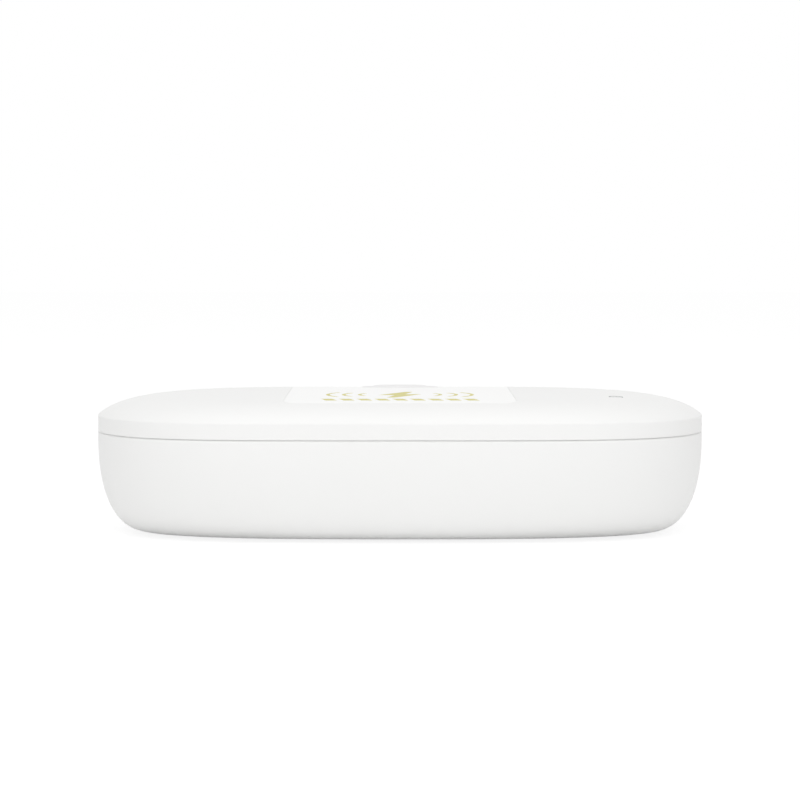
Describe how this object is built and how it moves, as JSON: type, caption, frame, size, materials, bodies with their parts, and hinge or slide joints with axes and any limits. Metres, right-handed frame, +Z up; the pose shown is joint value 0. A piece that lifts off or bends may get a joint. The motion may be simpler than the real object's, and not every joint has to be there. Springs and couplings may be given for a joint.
{
  "type": "uv sanitizer box for phones",
  "caption": "Rounded clamshell box with a reflective tub, ultraviolet lamps in base and lid, a rear hinge, a charging inlay on the lid and a round button.",
  "frame": {"origin": "centre of the bounding box's underside, on the surface that the feet rest on", "axes": "+Z up, -Y to the front, +X to the right seen from the front; the hinge is at +Y"},
  "size_m": [0.211, 0.1238, 0.0488],
  "materials": {
    "white_plastic": "satin moulded, very fine texture",
    "inlay_plastic": "smooth satin",
    "stop_silicone": "matte silicone",
    "mirror_plastic": "metallised, bright and slightly brushed",
    "gasket_rubber": "matte silicone",
    "foot_rubber": "matte, fine grain",
    "steel": "nickel plated",
    "magnet_plating": "nickel plated",
    "circuit_board": "green solder mask",
    "black_plastic": "moulded",
    "lamp_ceramic": "matte",
    "window_glass": "polished",
    "clear_acrylic": "clear, polished",
    "copper": "enamelled winding",
    "ferrite": "matte"
  },
  "bodies": {
    "base": {"base_bezel_left": "white_plastic", "base_bezel_right": "white_plastic", "base_lamp_board": "circuit_board", "base_liner": "mirror_plastic", "base_magnet": "magnet_plating", "base_screw_front_left": "steel", "base_screw_front_right": "steel", "base_screw_rear_left": "steel", "base_screw_rear_right": "steel", "base_shell": "white_plastic", "base_uv_lamp_left": "lamp_ceramic", "base_uv_lamp_right": "lamp_ceramic", "base_window_left": "window_glass", "base_window_right": "window_glass", "beeper": "black_plastic", "board_link": "lamp_ceramic", "control_chip": "black_plastic", "foot_front_left": "foot_rubber", "foot_front_right": "foot_rubber", "foot_rear_left": "foot_rubber", "foot_rear_right": "foot_rubber", "hinge_pin": "steel", "lamp_driver_chip": "black_plastic", "lid_sensor": "black_plastic", "main_board": "circuit_board", "phone_rest_left": "clear_acrylic", "phone_rest_right": "clear_acrylic", "rim_gasket": "gasket_rubber", "usb_socket": "steel"},
    "lid": {"button_board": "circuit_board", "button_switch": "black_plastic", "charge_board": "circuit_board", "charge_chip": "black_plastic", "charge_coil": "copper", "charging_inlay": "inlay_plastic", "ferrite_sheet": "ferrite", "lid_bezel_left": "white_plastic", "lid_bezel_middle": "white_plastic", "lid_bezel_right": "white_plastic", "lid_lamp_board": "circuit_board", "lid_liner": "mirror_plastic", "lid_magnet": "magnet_plating", "lid_screw_front_left": "steel", "lid_screw_front_right": "steel", "lid_screw_rear_left": "steel", "lid_screw_rear_right": "steel", "lid_shell": "white_plastic", "lid_uv_lamp_left": "lamp_ceramic", "lid_uv_lamp_middle": "lamp_ceramic", "lid_uv_lamp_right": "lamp_ceramic", "lid_window_left": "window_glass", "lid_window_middle": "window_glass", "lid_window_right": "window_glass", "rear_stop": "stop_silicone"},
    "power_button": {"power_button": "white_plastic", "switch_plunger": "black_plastic"}
  },
  "joints": [
    {"name": "lid_hinge", "type": "hinge", "parent": "base", "child": "lid", "pos_m": [0, 0.0595, 0.0376], "axis": [-1, 0, 0], "range_deg": [0, 95]},
    {"name": "button_press", "type": "slide", "parent": "lid", "child": "power_button", "axis": [0, 0, -1], "range_m": [0, 0.0006], "stiffness_N_per_m": 500, "springref_m": -0.001}
  ]
}
